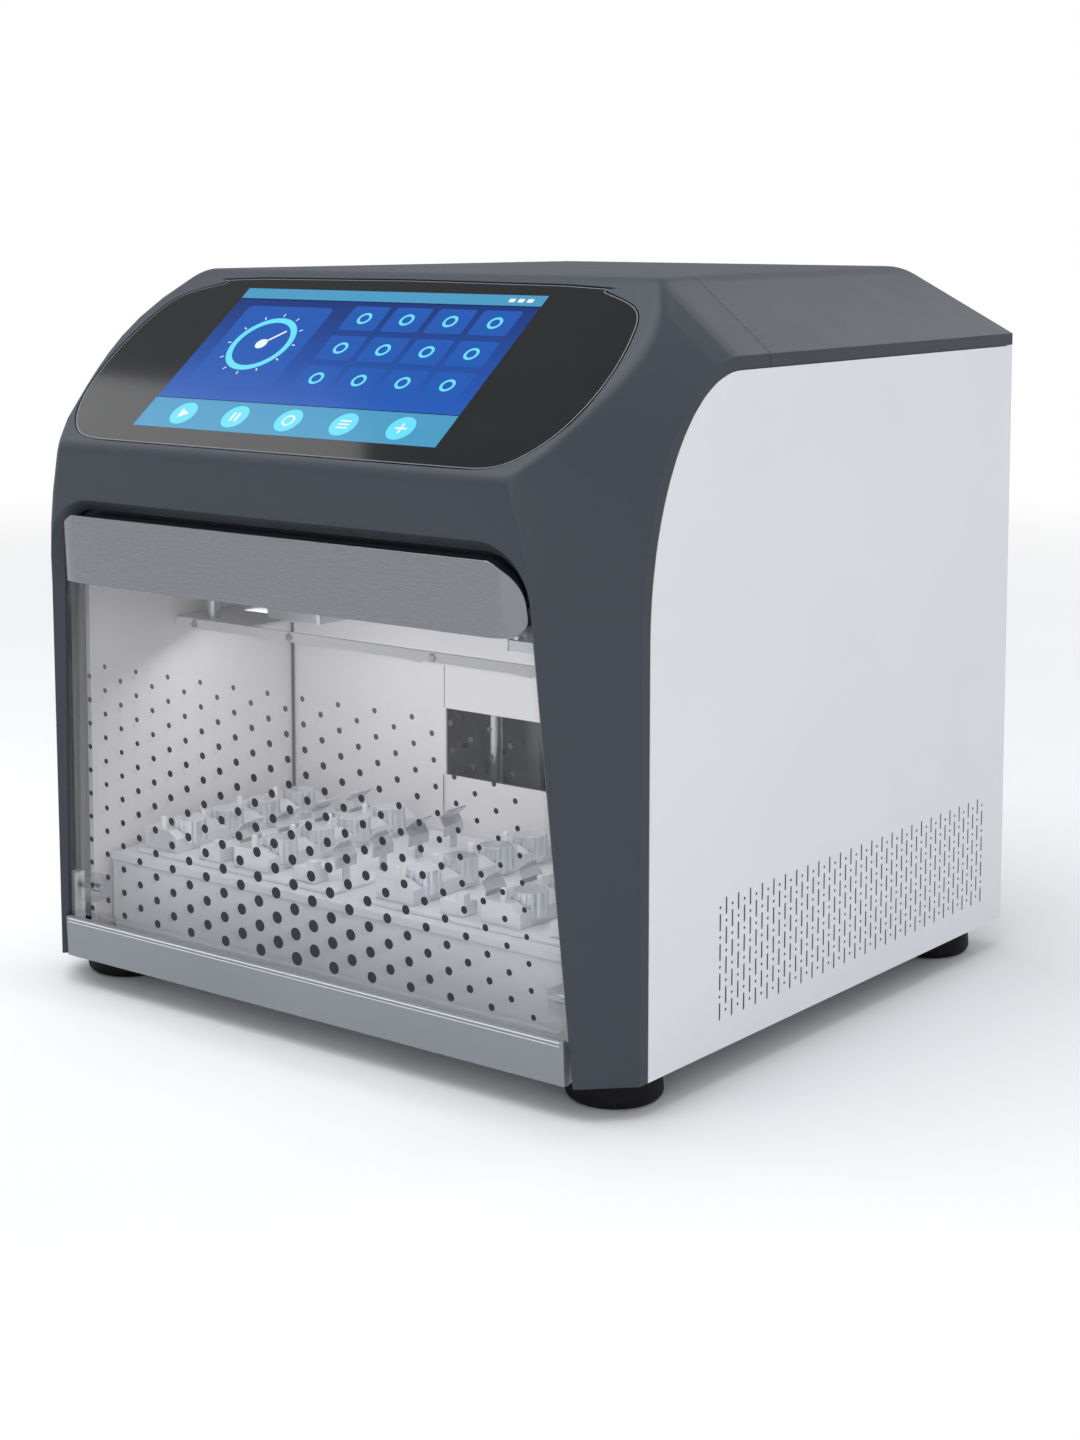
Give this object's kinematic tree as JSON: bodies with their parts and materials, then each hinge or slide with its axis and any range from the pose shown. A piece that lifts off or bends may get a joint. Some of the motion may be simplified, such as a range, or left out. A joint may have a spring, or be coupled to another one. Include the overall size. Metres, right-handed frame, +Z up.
{
  "type": "nucleic acid extractor",
  "caption": "Bench-top nucleic acid extractor with a sloped touch screen, drop-down dotted glass door, heated cartridge lanes and a lifting magnetic-rod head",
  "frame": {"origin": "on the surface under the feet, below the middle of the overall box", "axes": "+X to the right seen from the front, +Y to the rear, +Z up; the cabinet is symmetric about X = 0"},
  "size_m": [0.43, 0.4374, 0.424],
  "materials": {
    "shell_dark": "fine-grained satin moulding",
    "panel_white": "fine powder coat",
    "touch_black": "gloss black touch glass",
    "display": "lit panel",
    "door_glass": "clear, printed with graded dots",
    "handle_metal": "fine grained satin",
    "sill_grey": "satin",
    "foot_rubber": "matt",
    "liner_white": "powder coat",
    "bench_white": "smooth satin",
    "rail_aluminium": "fine blasted",
    "seat_aluminium": "machined",
    "clip_steel": "satin spring steel",
    "peg_white": "white",
    "zinc_steel": "zinc plated",
    "head_aluminium": "anodised",
    "bright_steel": "ground",
    "nut_brass": "machined",
    "motor_black": "black",
    "hinge_plastic": "grey moulding",
    "lamp_glass": "quartz tube",
    "board_green": "solder resist"
  },
  "bodies": {
    "cabinet": {"front_shell": "shell_dark", "roof_cover": "shell_dark", "side_panel_left": "panel_white", "side_panel_right": "panel_white", "rear_panel": "panel_white", "touch_glass": "touch_black", "display_panel": "display", "front_sill": "sill_grey", "feet": "foot_rubber", "liner_left": "liner_white", "liner_right": "liner_white", "liner_back": "liner_white", "bench_skirt": "liner_white", "chamber_ceiling": "liner_white", "bench_plate": "bench_white", "carrier_left": "bench_white", "carrier_right": "bench_white", "heat_rails": "rail_aluminium", "lane_stops": "rail_aluminium", "heat_seats": "seat_aluminium", "spring_clips": "clip_steel", "locating_pegs": "peg_white", "base_pan": "zinc_steel", "top_deck": "zinc_steel", "drive_frame": "zinc_steel", "display_bracket": "zinc_steel", "bench_posts": "zinc_steel", "ceiling_standoffs": "zinc_steel", "power_supply": "zinc_steel", "board_posts": "zinc_steel", "guide_shafts": "bright_steel", "hinge_pins": "bright_steel", "foot_screws": "bright_steel", "rear_screws": "bright_steel", "fan_guard": "bright_steel", "usb_port": "bright_steel", "lift_motor": "motor_black", "fan_frame": "motor_black", "power_inlet": "motor_black", "switch_housing": "motor_black", "hinge_blocks": "hinge_plastic", "lamp_holders": "hinge_plastic", "lamp_tube": "lamp_glass", "control_board": "board_green"},
    "door": {"door_panel": "door_glass", "door_handle": "handle_metal", "hinge_knuckles": "hinge_plastic"},
    "head": {"head_carriage": "head_aluminium", "lift_nut": "nut_brass", "comb_holders": "head_aluminium", "comb_posts": "head_aluminium", "rod_motor": "motor_black"},
    "rods": {"rod_plate": "head_aluminium", "magnet_rods": "bright_steel", "rod_nut": "nut_brass"},
    "lift_screw": {"lift_screw": "bright_steel", "screw_coupling": "head_aluminium"},
    "rod_screw": {"rod_screw": "bright_steel"},
    "fan": {"fan_rotor": "motor_black"},
    "rocker": {"rocker_switch": "motor_black"}
  },
  "joints": [
    {"name": "door_hinge", "type": "hinge", "parent": "cabinet", "child": "door", "pos_m": [0, -0.184, 0.058], "axis": [1, 0, 0], "range_deg": [0, 90]},
    {"name": "lift_screw_turn", "type": "hinge", "parent": "cabinet", "child": "lift_screw", "pos_m": [0, 0.034, 0.1], "axis": [0, 0, 1], "range_deg": [-2520, 0]},
    {"name": "head_lift", "type": "slide", "parent": "cabinet", "child": "head", "axis": [0, 0, 1], "range_m": [-0.07, 0]},
    {"name": "rod_screw_turn", "type": "hinge", "parent": "head", "child": "rod_screw", "pos_m": [0, -0.064, 0.26], "axis": [0, 0, 1], "range_deg": [-1260, 0]},
    {"name": "rod_lift", "type": "slide", "parent": "head", "child": "rods", "axis": [0, 0, 1], "range_m": [-0.028, 0]},
    {"name": "fan_spin", "type": "hinge", "parent": "cabinet", "child": "fan", "pos_m": [0.11, 0.2, 0.25], "axis": [0, 1, 0], "continuous": true},
    {"name": "power_rocker", "type": "hinge", "parent": "cabinet", "child": "rocker", "pos_m": [-0.104, 0.212, 0.072], "axis": [1, 0, 0], "range_deg": [0, 14]}
  ],
  "couplings": [
    {"joint": "lift_screw_turn", "follows": "head_lift", "rad_per_m": 628.32},
    {"joint": "rod_screw_turn", "follows": "rod_lift", "rad_per_m": 785.4}
  ]
}
